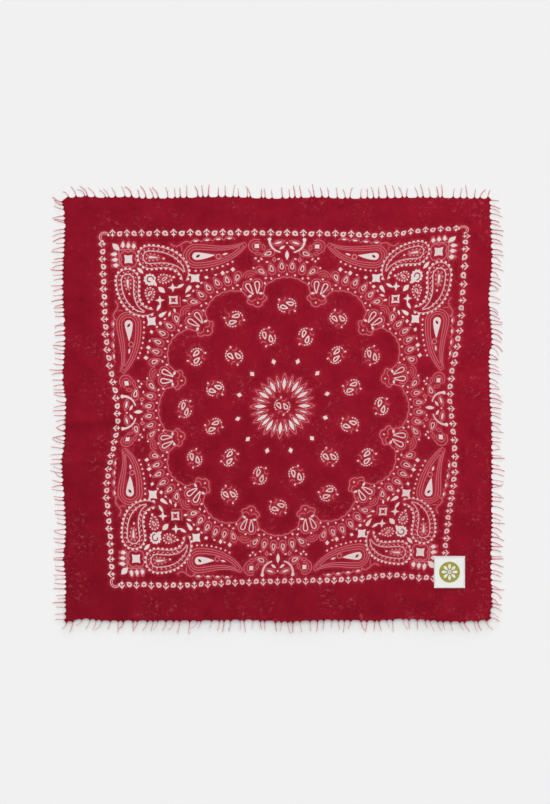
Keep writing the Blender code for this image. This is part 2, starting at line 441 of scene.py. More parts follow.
def border_side():
    """One side of the border, along the far edge."""
    shapes = []
    arrows, spacing = 23, 21.4
    for number in range(arrows):
        x = (number - (arrows - 1) / 2) * spacing
        shapes += placed(border_arrow(), x, ROW, size=0.9)
        if number < arrows - 1:
            shapes += placed(border_ring(-50 if number % 2 == 0 else -130), x + spacing / 2, ROW, size=0.94)
    return shapes


def border_crescent():
    """Hollow crescent that turns the border's corner, at the far left."""
    moon = stroke(arc(7.5, 40, 230), 1.4, 0.8) + stroke(arc(5, 50, 220), 1.2, 0.75)
    return placed(moon + blob(5.5, 3, 4, 3, -50) + blob(-3, -5.5, 4, 3, -40), 3 - ROW, ROW - 5)


# ---------------------------------------------------------------- the print: corners
# Each corner holds a flower round a star, two beaded paisleys that mirror each other over the
# diagonal, and small leaves and stars between them.

def in_corner(shapes, right, down, turn=0.0):
    """Shapes put at a place counted in from the far left corner of the border."""
    return placed(shapes, right - ROW, ROW - down, turn)


def corner_lotus():
    """Half of the flower round the corner's star. Its other half is the mirror image."""
    shapes = []
    for number in range(3):
        shapes += in_corner(patch(leaf(10 - number, 6)), 29 + 8 * number, 16 + number)
    shapes += in_corner(stroke(scallops((25, -20), (49, -22), 3, 10, 9), 1.1), 0, 0)
    shapes += in_corner(stroke(np.array([(24, -23), (47, -23)]), 2.2, 0.5), 0, 0)
    frame = np.vstack([scallops((27, -27), (46, -27), 2, 2), scallops((46, -27), (46, -46), 2, 2)[1:]])
    return shapes + in_corner(stroke(frame, 1.25, 0.6), 0, 0)


def curled_flower():
    """A round flower with a scalloped rim, a tail, and a dyed curl left in it."""
    shapes = patch(arc(7.5, 0, 340, count=18))
    for angle in range(20, 320, 34):
        shapes += placed(blob(7.4, 0, 3.3, 3.9, sides=7), turn=angle)
    shapes += patch(leaf(11, 5), 6, -5, 30)
    turn = np.linspace(0, 1, 12)
    curl = np.column_stack([np.cos(turn * 5), np.sin(turn * 5)]) * (5.4 - 2.4 * turn)[:, None]
    return shapes + stroke(curl, 1.9, 0.0)


def corner_middle():
    """What lies on the corner's own diagonal."""
    shapes = in_corner(patch(leaf(14, 8)), 19, 19, 45) + in_corner(patch(star(12)), 36.5, 36.5)
    shapes += in_corner(patch(leaf(12, 5)), 53, 53, 45) + in_corner(curled_flower(), 66, 66)
    shapes += in_corner(patch(leaf(12, 7)), 81, 81, 45)
    shapes += in_corner([(0.92, [star(12, 0.88), star(7, 0.7)[::-1]])], 96, 96)
    return shapes + in_corner(stroke(np.array([(0, 13), (0, 0), (-13, 0)]), 1.0, 0.5), 105, 105)


def corner_paisley():
    """The big paisley: a beaded edge, a thick line inside it, dots between, and a pod in the head."""
    edge = body(paisley_spine(66, 16, -118, 2.5), tail_open=True)
    inner = body(paisley_spine(54, 9, -80, 0.6), tail_open=True)
    shapes = stroke(edge, 1.3, 0.8) + beads(sideways(edge, 1.6), 6.2, 4.3, 2.9)
    shapes += stroke(inner, 1.5, 0.85)
    lining = body(paisley_spine(40, 10, -56, 4), tail_open=True)
    dots = body(paisley_spine(48, 12.6, -72, 4.5), tail_open=True)
    shapes += beads(lining, 6.0, 3.2, 2.3, 0.85, 7) + beads(dots, 6.7, 2.1, 2.1, 0.85, 6)
    pod = paisley_spine(14, 3, -20)
    shapes += patch(body(paisley_spine(11, 1.6, -15))) + stroke(body(pod), 1.1, 0.6, closed=True)
    shapes += beads(body(pod, 2.1, tail_open=True), 5.2, 3.1, 1.9, ink=0.8, sides=7) + blob(19, -2, 3.4, 3)
    shapes = in_corner(shapes, 67, 34)
    # the leaf and four-pointed flower that the tail ends in
    shapes += in_corner(patch(leaf(12, 4)), 106, 76, -60)
    return shapes + in_corner(patch(star(9, 0.55)), 96, 78, 45)


def small_paisley():
    """Beaded paisley with a hollow seed in it and a bulb at its tip."""
    pod = paisley_spine(12, 4.6, 20)
    shapes = stroke(body(pod), 1.1, 0.65, closed=True)
    shapes += beads(body(pod, 1.9, tail_open=True), 4.1, 2.8, 2.1, sides=7)
    shapes += placed(hollow_drop(7.6, 3.6, 1.5, 0.9, 1.6), 2, 0, -60)
    return shapes + blob(14, 2, 4.0, 3.4)


def corner_fill():
    """Small pieces between the paisleys and the rings."""
    shapes = in_corner(small_paisley(), 84, 65) + in_corner(patch(star(12, 0.8)), 126, 65)
    shapes += in_corner(patch(drop(12.8, 5.2)), 116, 81, 145) + in_corner(patch(leaf(8, 3)), 116, 90, -70)
    shapes += in_corner(patch(leaf(6, 3)), 111, 97, -100)
    shapes += in_corner(patch(diamond(6, 5)), 129, 77) + in_corner(patch(diamond(6, 5)), 141, 64, -15)
    run = np.linspace(0, 1, 15)
    vine = np.column_stack([96 + 28 * run - ROW, ROW - 15 - 3.5 * np.sin(math.pi * 2 * run)])
    shapes += stroke(vine, 1.0, 0.5) + teeth(vine[::-1], 3.4, 2.0, 0.5)
    return shapes + in_corner(stroke(np.array([(0, 0), (0, -7)]), 1.0, 0.5), 110, 18)


# ---------------------------------------------------------------- the print: long paisleys
# One lies on each side of every corner, along the border. It is drawn in thin lines, one inside
# the other, with a crest of humps over it and a row of dots under it.

def long_paisley():
    """A long paisley of thin lines, one inside the other, with leaves and seeds in its core."""
    shapes = []
    for head, length, turn, tip in ((17, 70, 46, 2.4), (13.5, 66, 42, 1.6), (10, 60, 38, 0.8)):
        shapes += stroke(body(paisley_spine(length, head, turn, tip), spacing=2.6), 1.0, 0.58, closed=True)
    shapes += patch(body(paisley_spine(24, 5.5, 10))) + patch(leaf(7, 3.6), 2, 0, -52, 0.0)
    shapes += patch(leaf(8, 2.6), 38, 2.5, -74)
    shapes += stroke(arc(3.3, 0, 324, 29, -1, count=10), 1.2, 0.7, closed=True)
    # a crest of humps with a leaf in each, and dots that follow the belly
    shapes += stroke(scallops((52, 24), (-8, 19), 4, -5), 1.0)
    for number in range(4):
        shapes += patch(leaf(7, 2.6), -0.5 + 15 * number, 21.6 + number * 1.2, -86)
    belly = sideways(body(paisley_spine(70, 17, 46, 2.4)), 4.5)
    under = belly[(belly[:, 1] < -6) & (belly[:, 0] > -8)]
    under = under[np.argsort(under[:, 0])]
    shapes += beads(under, 7.4, 3.2, 2.8, ink=0.95)
    shapes += patch(diamond(6, 7), 34, -25) + patch(diamond(6, 7), 48, -20)
    return placed(shapes, -121, 217)


# ---------------------------------------------------------------- the print: side fans
# The middle of each side has a fan of leaves with a thick feeler on either hand, and between it
# and the long paisleys a squared flower in a curl.

def side_fan():
    """Left half of the fan of leaves in the middle of a side."""
    shapes = placed(stroke(leaf(18, 7.4), 0.9, 0.55, closed=True) + patch(leaf(11, 3.2)), -11.5, 236, -72)
    shapes += patch(leaf(9, 3.5), -6.5, 229, -54)
    feeler = arc(17, 170, 260, -6, 239)
    shapes += stroke(feeler, np.linspace(3.6, 2.1, len(feeler)), 0.95) + blob(-23, 241, 6, 5.4, 40)
    # squared flower in a curl
    shapes += patch(star(6, 0.95), -40, 231)
    shapes += stroke(arc(6.5, 20, 290, -40, 231, 12), 1.0, 0.55)
    shapes += stroke(arc(10, 60, 250, -41, 231, 12), 1.0, 0.6)
    shapes += placed(curled_drop(-1), -25.5, 220, 112)
    for x, y, turn in ((-31, 229, 8), (-39, 220, 85)):
        shapes += placed(stroke(leaf(9, 4), 0.9, 0.5, closed=True), x, y, turn)
    shapes += placed(stroke(diamond(4.6, 6.6), 1.2, 0.75, closed=True), -17, 211)
    return shapes + blob(-42, 213, 3.5, 3) + blob(-38, 209, 3, 3) + blob(-45, 199, 3, 3)


def side_middle():
    return patch(leaf(14, 5), 0, 218) + blob(0, 236, 2.6, 3.0) + blob(0, 203, 2.6, 2.8, ink=0.7)


# ---------------------------------------------------------------- the print: medallion
# A round of twelve arcs with a tulip where each two meet and curled drops over each, two rings of
# sprigs inside it, and a sunburst of leaves in the middle.

def curled_drop(lean):
    """Hollow drop in a thin outline, whose tail curls out to a bulb on the side it leans to."""
    shapes = hollow_drop(10, 4.8, 1.6, 0.92, 2.0)
    shapes += hollow_drop(19, 10.4, 1.0, 0.58, 2.6)
    return shapes + blob(4 * lean, 11, 4.4, 2.8, -12 * lean, 0.95, sides=7)


def medallion_cusp():
    """Tulip where two arcs meet, pointing in to the middle, in an edge of humps that draws to a point."""
    half = np.vstack([scallops((20, 177), (14, 170), 1, -1.5), scallops((14, 170), (14, 159), 1, -3)[1:],
                      scallops((14, 159), (0, 148), 2, 1.6)[1:]])
    shapes = stroke(np.vstack([half, half[-2::-1] * (-1, 1)]), 1.15, 0.6)
    petal = placed(stroke(body(paisley_spine(14, 3.2, -14)), 1.7, 0.95, closed=True), 6.5, 181, -100)
    petal += stroke(arc(7.2, 140, -60, 6.5, 180.5, 14), 1.0, 0.6)
    petal += patch(leaf(7, 3.2), 8, 166, 75) + stroke(arc(5, 40, -150, 6, 163, 10), 1.0, 0.6)
    shapes += petal + placed(petal, flip=True) + blob(0, 154, 2.5, 3.2, ink=0.95) + blob(0, 189, 3.3, 3.3)
    for radius in (3.5, 7.0, 10.5):
        shapes += stroke(arc(radius, 20, 160, 0, 191, 9), 0.95, 0.5)
    return shapes


def medallion_arc():
    """One arc of the medallion's edge, over the middle of it, with a row of dots above it."""
    rows = []
    half_angle, scallop, flatten = 8.3, 3.3, 0.115
    for angle in np.linspace(-half_angle, half_angle, 23):
        radius = 185 - flatten * angle ** 2 + 1.5 * abs(math.sin(math.pi * angle / scallop))
        rows.append(from_middle(radius, angle))
    shapes = stroke(np.array(rows), 1.15, 0.6)
    for number in range(-3, 4):
        angle = scallop * number * (0.97 if abs(number) == 3 else 1.0)
        x, y = from_middle(190 - flatten * angle ** 2, angle)
        shapes += blob(x, y, 3.9, 2.9, 90 - 3 * angle, 0.95, sides=7)
    return shapes


def drops_over_arc():
    """Six curled drops in a row round an arc. The outer two hang with their tips to the middle."""
    shapes = []
    for side in (-1, 1):
        for number in range(3):
            angle, radius = side * (2 + 4 * number), 202 - 2.5 * number
            turn = side * (140 if number == 2 else -6 * number)
            one = curled_drop(side if number < 2 else -side)
            shapes += placed(one, *from_middle(radius, angle), turn - angle, size=0.95)
    return shapes


def sprig():
    """Two hollow drops head to tail, in beaded arcs with hooked stems, and a dot at each end."""
    half = placed(hollow_drop(10.6, 4.9, 1.9, 0.95, 1.9), -4, 3, 184)
    bow = arc(9.5, 60, 205, -1, 2.5, 14)
    half += stroke(bow, 0.95, 0.6) + beads(bow[3:], 3.2, 2.6, 2.2, sides=6, ink=0.95)
    half += stroke(arc(3.5, 200, 330, 7, 9, 7), 0.95, 0.6) + blob(4, 13, 2.9, 3.1, sides=7)
    return half + placed(half, turn=180)


def sunburst():
    """Twenty-four petals about the middle, in three sizes."""
    shapes = []
    # inner end, outer end and width of the outline, then of the core
    broad, thin, deep = (25, 47, 7.6, 23, 41, 4.8), (20, 45, 5.4, 26, 39, 2), (17, 46, 7.6, 23, 39, 4.4)
    petals = {0: broad, 15: thin, 30: broad, 45: deep}    # by degrees from the nearest quarter
    for number in range(24):
        place = min(number * 15 % 90, 90 - number * 15 % 90)
        inner, outer, width, core_inner, core_outer, core_width = petals[place]
        petal = placed(stroke(leaf(outer - inner, width), 1.0, 0.6, closed=True), 0, (inner + outer) / 2)
        petal += patch(leaf(core_outer - core_inner, core_width), 0, (core_inner + core_outer) / 2)
        shapes += placed(petal, turn=number * 15)
        shapes += placed(blob(0, 35, 1.9, 2.8, ink=0.8, sides=6), turn=number * 15 + 7.5)
    for number in range(12):
        shapes += placed(patch(diamond(6.6, 8.4), 0, 66), turn=15 + number * 30)
    return shapes


def print_design():
    """The whole printed square, as shapes of ink in mm about its middle."""
    octant = corner_lotus() + corner_paisley() + corner_fill() + long_paisley() + side_fan()
    quarter = corner_middle() + border_crescent()
    shapes = []
    side = border_side() + side_middle() + octant + placed(octant, flip=True)
    for number in range(4):
        shapes += placed(side + quarter, turn=90 * number)
    for number in range(12):
        shapes += placed(medallion_arc() + drops_over_arc(), turn=30 * number)
        shapes += placed(medallion_cusp(), turn=30 * number + 15)
        for radius, around, tilt in [(145, 90 + 30 * number, 200), (103, 105 + 30 * number, 96)]:
            angle = math.radians(around)
            shapes += placed(sprig(), radius * math.cos(angle), radius * math.sin(angle), around - tilt)
    return shapes + sunburst() + placed(sprig(), turn=30, size=0.95)


# ---------------------------------------------------------------- the woven square: its mesh
# The cloth is one thin shell. The print's outlines are cut into its upper face, so that each
# small face lies wholly in the print or wholly in the ground.

GRID = 5.0                # spacing of the cloth's own points, in mm
CREASE_GRID = 2.4         # spacing of the points along a narrow crease
NARROW = 0.03             # how wide a narrow crease may be, in metres
BACK_GRID = 25.0          # spacing of the points of the underside
WELL_INSIDE = (288.0, 286.0)    # nearer the middle than this, a face can't lie past the edge
GLOW_REACH = 1.4          # how far white ink brightens the red wool beside it, in mm
MAP_SPAN = 0.64           # what the flat map takes in, in metres


def cloth_points():
    """Points over the cloth, closer together along the creases, in mm."""
    rng = np.random.default_rng(11)
    across, along = np.meshgrid(np.arange(-296, 297, GRID), np.arange(-293, 294, GRID))
    points = [np.column_stack([across.ravel(), along.ravel()])]
    for x, y, heading, length, width, _ in CREASES:
        if width > NARROW:
            continue
        run, side = np.meshgrid(np.arange(-length * 450, length * 450, CREASE_GRID),
                                np.arange(-width * 700, width * 700, CREASE_GRID))
        c, s = math.cos(math.radians(heading)), math.sin(math.radians(heading))
        patch_x = x / MM + run * c - side * s
        patch_y = y / MM + run * s + side * c
        points.append(np.column_stack([patch_x.ravel(), patch_y.ravel()]))
    points = np.vstack(points)
    points = points + rng.uniform(-0.4, 0.4, points.shape)
    inside = (np.abs(points[:, 0]) < 294.5) & (np.abs(points[:, 1]) < 292.0)
    return points[inside]


def triangulate(outline, loops, loose):
    """Triangles that fill the outline and keep every loop, and where each outline point went."""
    points, edges = [], []
    for loop in [outline] + loops:
        first = len(points)
        points.extend(Vector(p) for p in loop)
        edges.extend((first + i, first + (i + 1) % len(loop)) for i in range(len(loop)))
    points.extend(Vector(p) for p in loose)
    flat, _, faces, sources, _, _ = delaunay_2d_cdt(points, edges, [], 1, 0.01, True)
    rim = [0] * len(outline)
    for number, ids in enumerate(sources):
        for source in ids:
            if source < len(outline):
                rim[source] = number
    flat, faces = np.array([tuple(p) for p in flat]), np.array(faces)
    # faces between the worn outline and its hull are let go, and only those near the edge are tried
    centres = flat[faces].mean(1)
    tried = np.max(np.abs(centres) - WELL_INSIDE, axis=1) > 0
    kept = ~tried
    kept[tried] = ink_on(centres[tried], [(1.0, [outline])]) > 0.5
    return flat, faces[kept], rim


def laid_on_cloth(shapes):
    """The shapes with every point carried onto the cloth at once."""
    lengths = [len(loop) for _, loops in shapes for loop in loops]
    every = on_cloth(np.vstack([loop for _, loops in shapes for loop in loops]))
    pieces = iter(np.split(every, np.cumsum(lengths)[:-1]))
    return [(ink, [next(pieces) for _ in loops]) for ink, loops in shapes]


def ink_on(centres, shapes):
    """How much ink lies on each face: the last shape printed over its centre counts."""
    ink = np.zeros(len(centres))
    order = np.argsort(centres[:, 0])
    ordered = centres[order]
    for amount, loops in shapes:
        every = np.vstack(loops)
        low, high = every.min(0), every.max(0)
        start, end = np.searchsorted(ordered[:, 0], (low[0], high[0]))
        near = order[start:end]
        near = near[(centres[near, 1] > low[1]) & (centres[near, 1] < high[1])]
        if not len(near):
            continue
        x, y = centres[near, 0][:, None], centres[near, 1][:, None]
        winding = np.zeros(len(near), int)
        for loop in loops:
            x0, y0 = loop[:, 0][None], loop[:, 1][None]
            x1, y1 = np.roll(loop[:, 0], -1)[None], np.roll(loop[:, 1], -1)[None]
            side = (x1 - x0) * (y - y0) - (x - x0) * (y1 - y0)
            up, down = (y0 <= y) & (y1 > y) & (side > 0), (y0 > y) & (y1 <= y) & (side < 0)
            winding += up.sum(1) - down.sum(1)
        ink[near[winding != 0]] = amount
    return ink


def add_object(name, data):
    obj = bpy.data.objects.new(name, data)
    bpy.context.scene.collection.objects.link(obj)
    return obj


def add_mesh(name, verts, faces):
    mesh = bpy.data.meshes.new(name)
    mesh.from_pydata(verts, [], faces)
    mesh.shade_smooth()
    return add_object(name, mesh)


def build_cloth():
    """The shell: printed upper face, plain underside, and a thin wall between them all round."""
    outline = raw_outline() / MM
    shapes = laid_on_cloth(print_design())
    upper, upper_faces, upper_rim = triangulate(outline, [loop for _, loops in shapes for loop in loops],
                                                cloth_points())
    across = np.arange(-275, 276, BACK_GRID)
    coarse = np.stack(np.meshgrid(across, across), -1).reshape(-1, 2)
    lower, lower_faces, lower_rim = triangulate(outline, [], coarse)
    ink = ink_on(upper[upper_faces].mean(1), shapes)

    top_xy, base_xy = upper * MM, lower * MM
    top = np.column_stack([top_xy, cloth_top(top_xy[:, 0], top_xy[:, 1])])
    base = np.column_stack([base_xy, UNDERSIDE + lift(base_xy[:, 0], base_xy[:, 1])])
    shift = len(top)
    walls = [(upper_rim[i], lower_rim[i] + shift, lower_rim[(i + 1) % len(outline)] + shift,
              upper_rim[(i + 1) % len(outline)]) for i in range(len(outline))]
    faces = upper_faces.tolist() + (lower_faces[:, ::-1] + shift).tolist() + walls
    cloth = add_mesh("cloth_sheet", np.vstack([top, base]).tolist(), faces)
    mesh = cloth.data
    # how close each point lies to the print, from its outlines
    printed = KDTree(sum(len(loop) for amount, loops in shapes for loop in loops if amount > 0.3))
    for amount, loops in shapes:
        if amount > 0.3:
            for point in np.vstack(loops):
                printed.insert((*point, 0.0), 0)
    printed.balance()
    glow = [math.exp(-printed.find((*point, 0.0))[2] / GLOW_REACH) for point in upper] + [0.0] * len(base)
    mesh.attributes.new("glow", "FLOAT", "POINT").data.foreach_set("value", glow)
    face_ink = np.zeros(len(faces), np.float32)
    face_ink[:len(ink)] = ink
    mesh.attributes.new("ink", "FLOAT", "FACE").data.foreach_set("value", face_ink)
    mesh.set_sharp_from_angle(angle=math.radians(50))
    return cloth, len(upper_faces)


def read_points(mesh):
    places = np.empty(len(mesh.vertices) * 3)
    mesh.vertices.foreach_get("co", places)
    return places.reshape(-1, 3)


def lay_out_bake_map(obj, upper_count):
    """A flat map of the piece: the upper face fills it and the rest lies in a strip beside it."""
    mesh = obj.data
    layer = mesh.uv_layers.new(name="OFBake")
    corners = np.empty(len(mesh.loops), int)
    mesh.loops.foreach_get("vertex_index", corners)
    flat = read_points(mesh)[corners][:, :2] / MAP_SPAN + 0.5
    on_top = np.arange(len(flat)) < upper_count * 3
    flat[:, 0] = np.where(on_top, flat[:, 0] * 0.95, 0.965 + flat[:, 0] * 0.03)
    layer.data.foreach_set("uv", flat.ravel())


# The cloth's finish: brushed worsted in a plain weave, dyed red, with a screen print whose white
# lets the red threads show at their crossings.
RED_DYE = (0.288, 0.0062, 0.0200, 1.0)
RED_DEEP = (0.196, 0.0026, 0.0118, 1.0)
RED_NAP = (0.330, 0.0130, 0.0300, 1.0)
RED_GLOW = (0.440, 0.0330, 0.0520, 1.0)
PRINT_PINK = (0.560, 0.165, 0.195, 1.0)
PRINT_WHITE = (0.700, 0.628, 0.612, 1.0)
NEP_RED = (0.440, 0.0700, 0.0900, 1.0)
NEP_PINK = (0.520, 0.160, 0.175, 1.0)
RED_SHEEN = (0.80, 0.25, 0.28, 1.0)
THREAD_PITCH = 0.00085


def new_material(name, roughness, sheen=0.0, shine=0.25):
    """A finish whose pattern is laid by the piece's own Object coordinates."""
    material = bpy.data.materials.new(name)
    material.use_nodes = True
    tree = material.node_tree
    shader = tree.nodes["Principled BSDF"]
    shader.inputs["Roughness"].default_value = roughness
    shader.inputs["Specular IOR Level"].default_value = shine
    shader.inputs["Sheen Weight"].default_value = sheen
    shader.inputs["Sheen Roughness"].default_value = 0.5
    return material, tree, tree.nodes.new("ShaderNodeTexCoord").outputs["Object"]


def add_node(tree, kind, inputs=(), **settings):
    """A node with its settings, its input values, and links from other nodes' outputs."""
    node = tree.nodes.new(kind)
    for name, value in settings.items():
        setattr(node, name, value)
    for socket, value in dict(inputs).items():
        if isinstance(value, bpy.types.NodeSocket):
            tree.links.new(value, node.inputs[socket])
        else:
            node.inputs[socket].default_value = value
    return node


def noise(tree, place, scale, detail, roughness=0.5):
    inputs = {"Vector": place, "Scale": scale, "Detail": detail, "Roughness": roughness}
    return add_node(tree, "ShaderNodeTexNoise", inputs).outputs["Fac"]


def blend(tree, share, first, second):
    """Colour mix of two colours or colour outputs."""
    node = add_node(tree, "ShaderNodeMix", {0: share, 6: first, 7: second}, data_type="RGBA")
    return node.outputs[2]


def maths(tree, operation, first, second=0.0, clamp=False):
    node = add_node(tree, "ShaderNodeMath", {0: first, 1: second}, operation=operation, use_clamp=clamp)
    return node.outputs[0]


def times(tree, first, second, clamp=False):
    return maths(tree, "MULTIPLY", first, second, clamp)


def spread(tree, value, low, high, to_low=0.0, to_high=1.0):
    """A value stretched from one range to another and held there."""
    inputs = {0: value, 1: low, 2: high, 3: to_low, 4: to_high}
    return add_node(tree, "ShaderNodeMapRange", inputs).outputs[0]


def finish_surface(material, colour, height=None, distance=0.0, strength=0.0):
    """Give a finish its colour and, unless it is smooth, raise it by a height pattern."""
    tree = material.node_tree
    shader = tree.nodes["Principled BSDF"]
    tree.links.new(colour, shader.inputs["Base Color"])
    if height is not None:
        inputs = {"Height": height, "Distance": distance, "Strength": strength}
        tree.links.new(add_node(tree, "ShaderNodeBump", inputs).outputs[0], shader.inputs["Normal"])
    return material


def attribute(tree, name):
    return add_node(tree, "ShaderNodeAttribute", attribute_name=name).outputs["Fac"]


def weave(tree, place, pitch):
    """Height of a plain weave: warp and weft pass over each other by turns."""
    parts = add_node(tree, "ShaderNodeSeparateXYZ", {0: place})
    angles = [times(tree, parts.outputs[axis], math.pi / pitch) for axis in ("X", "Y")]
    return times(tree, maths(tree, "SINE", angles[0]), maths(tree, "SINE", angles[1]))


def wool_print():
    material, tree, place = new_material("printed_wool_cloth", 0.95, sheen=0.04, shine=0.04)
    tree.nodes["Principled BSDF"].inputs["Sheen Tint"].default_value = RED_SHEEN
    ink = attribute(tree, "ink")

    cloudy = noise(tree, place, 34.0, 6.0, 0.62)
    nap = noise(tree, place, 520.0, 3.0, 0.65)
    fibre = noise(tree, place, 1900.0, 2.0, 0.6)
    threads = weave(tree, place, THREAD_PITCH)

    red = blend(tree, spread(tree, cloudy, 0.30, 0.70), RED_DEEP, RED_DYE)
    red = blend(tree, spread(tree, nap, 0.35, 0.75, 0.0, 0.30), red, RED_NAP)
    # painted shade: the red is darkened towards the near edge and towards the left edge, where the light
    # falls off
    parts = add_node(tree, "ShaderNodeSeparateXYZ", {0: place})
    near = spread(tree, parts.outputs["Y"], -0.30, 0.05, 0.80, 1.0)
    left = spread(tree, parts.outputs["X"], -0.31, 0.31, 0.91, 1.06)
    painted_shade_factor = times(tree, near, left)
    painted_shade_tone = add_node(tree, "ShaderNodeCombineColor", {0: painted_shade_factor, 1: painted_shade_factor, 2: painted_shade_factor})
    painted_shade_mix = add_node(tree, "ShaderNodeMix", {0: 1.0, 6: red, 7: painted_shade_tone.outputs[0]}, data_type="RGBA",
                        blend_type="MULTIPLY")
    red = painted_shade_mix.outputs[2]
    # white ink lights up the wool round it
    glow = attribute(tree, "glow")
    lit = times(tree, maths(tree, "POWER", glow, 1.3), 0.58)
    red = blend(tree, lit, red, RED_GLOW)
    # pale neps: short ends of undyed fibre in loose clusters, and fewer of them between
    cluster = spread(tree, noise(tree, place, 19.0, 2.0), 0.48, 0.62)
    smudge = spread(tree, noise(tree, place, 170.0, 4.0, 0.75), 0.55, 0.68)
    smudge = times(tree, smudge, cluster)
    red = blend(tree, times(tree, smudge, 0.65), red, NEP_RED)
    speck = times(tree, spread(tree, noise(tree, place, 420.0, 2.0, 0.7), 0.62, 0.74),
                  maths(tree, "ADD", times(tree, cluster, 0.20), 0.03))
    red = blend(tree, speck, red, NEP_PINK)
    # the print: threads and nap break it up
    broken = times(tree, spread(tree, fibre, 0.30, 0.62, 0.84, 1.0),
                   spread(tree, threads, -1.0, 0.2, 0.92, 1.0))
    # the ink is thinner in patches, and towards the near right corner
    to_label = maths(tree, "SUBTRACT", parts.outputs["X"], parts.outputs["Y"])
    thin = times(tree, spread(tree, noise(tree, place, 11.0, 3.0), 0.35, 0.62, 0.90, 1.0),
                 spread(tree, to_label, 0.0, 0.5, 1.0, 0.88))
    cover = times(tree, times(tree, ink, thin), broken, clamp=True)
    colour = blend(tree, spread(tree, cover, 0.0, 0.6), red, PRINT_PINK)
    colour = blend(tree, spread(tree, cover, 0.6, 0.88), colour, PRINT_WHITE)

    height = maths(tree, "ADD", times(tree, threads, 0.35), times(tree, nap, 1.2))
    height = maths(tree, "ADD", height, times(tree, noise(tree, place, 180.0, 3.0), 1.4))
    return finish_surface(material, colour, height, 0.00030, 0.45)


cloth_sheet, upper_faces_of_cloth = build_cloth()
lay_out_bake_map(cloth_sheet, upper_faces_of_cloth)
cloth_sheet.data.materials.append(wool_print())
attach(cloth_sheet, "root")
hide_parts("cloth")


# ---------------------------------------------------------------- the fringe
# Warp and weft drawn out of the raw edges and twisted into lashes of two plies, by hand, so no two
# are alike. Loose single fibres stand out of the lashes and of the edge between them.

RED_LASH = (0.720, 0.0800, 0.1080, 1.0)
DEEP_LASH = (0.520, 0.0380, 0.0600, 1.0)
PALE_LASH = (0.560, 0.235, 0.250, 1.0)
PLY_RADIUS = 0.00022      # of one ply of a lash of middling thickness
ROOT_TUCK = 0.0016        # how far a lash starts inside the edge
OFF_TABLE = 0.0003        # fibres keep this far above the table
FIBRE_PITCH = 0.0040      # between the loose fibres along an edge
FIBRE_TUCK, FIBRE_RISE = 0.0006, 0.0004    # where a loose fibre starts: inside the edge, and above
LASH_STEPS = 10
STRAY_RADII = [0.00008, 0.00007, 0.00007, 0.00006, 0.00004]
LOOSE_RADII = [0.00007, 0.00006, 0.00005, 0.00004]
PALENESS = [0.0, 0.0, 0.05, 0.1, 0.15, 0.35, 0.75]    # most lashes are red and a few are pale


def tube(verts, faces, path, radii, sides):
    """Add a closed tube along a path, with a radius for each of its points."""
    first = len(verts)
    path = [Vector(p) for p in path]
    for number, point in enumerate(path):
        ahead = (path[min(number + 1, len(path) - 1)] - path[max(number - 1, 0)]).normalized()
        across = ahead.cross(Vector((0.0, 0.0, 1.0)))
        across = across.normalized() if across.length > 1e-6 else Vector((1.0, 0.0, 0.0))
        up = across.cross(ahead)
        for corner in range(sides):
            angle = 2 * math.pi * corner / sides
            verts.append(point + (across * math.cos(angle) + up * math.sin(angle)) * radii[number])
    for number in range(len(path) - 1):
        for corner in range(sides):
            a, b = first + number * sides + corner, first + number * sides + (corner + 1) % sides
            faces.append((a, b, b + sides, a + sides))
    faces.append(tuple(first + corner for corner in reversed(range(sides))))
    last = first + (len(path) - 1) * sides
    faces.append(tuple(last + corner for corner in range(sides)))


def directions(side):
    """Which way is out of an edge, and which way runs along it."""
    out = Vector((*OUTWARDS[side], 0.0))
    return out, Vector((abs(out.y), abs(out.x), 0.0))


def lash_line(side, lash, reach, bow, rise):
    """Points along the middle of a lash from its root, and its heading at each of them."""
    place, lean, length, _ = lash
    out, run = directions(side)
    point = Vector((*edge_of_square(side, [place], reach - ROOT_TUCK)[0], 0.0))
    ground = float(lift(point.x, point.y)) + OFF_TABLE
    middle, heading = [], []
    for step in range(LASH_STEPS):
        share = step / (LASH_STEPS - 1)
        angle = math.radians(lean * min(1.0, 0.25 + share * 1.3) + bow * share * share)
        height = ground * (1 - 0.75 * share) + rise * math.sin(math.pi * share) + OFF_TABLE
        middle.append(Vector((point.x, point.y, height)))
        heading.append(out * math.cos(angle) + run * math.sin(angle))
        point = point + heading[-1] * (length + ROOT_TUCK) / (LASH_STEPS - 1)
    return middle, heading


def twisted_ply(middle, heading, radius, turns, start):
    """One ply of a lash, wound round its middle line: its path and its radii."""
    path, radii = [], []
    for step, (point, ahead) in enumerate(zip(middle, heading)):
        share = step / (LASH_STEPS - 1)
        across = Vector((-ahead.y, ahead.x, 0.0))
        phase = 2 * math.pi * (turns * share + start)
        swirl = across * math.cos(phase) + Vector((0.0, 0.0, 0.6)) * math.sin(phase)
        path.append(point + swirl * radius * 0.95 * (1.15 - 0.5 * share))
        radii.append(radius * (1.35 - 0.55 * share if share < 0.9 else 0.55))
    return path, radii


def stray_fibre(rng, point, heading):
    """A single fibre that stands out of a lash."""
    drift = rng.gauss(0.0, 38.0)
    length = rng.uniform(0.003, 0.0075)
    path = []
    for step in range(len(STRAY_RADII)):
        path.append(point)
        angle = math.radians(drift * (0.4 + 0.25 * step))
        ahead = Vector((heading.x * math.cos(angle) - heading.y * math.sin(angle),
                        heading.x * math.sin(angle) + heading.y * math.cos(angle), 0.0))
        point = point + ahead * length / 4
        point.z = max(OFF_TABLE, point.z * 0.9)
    return path


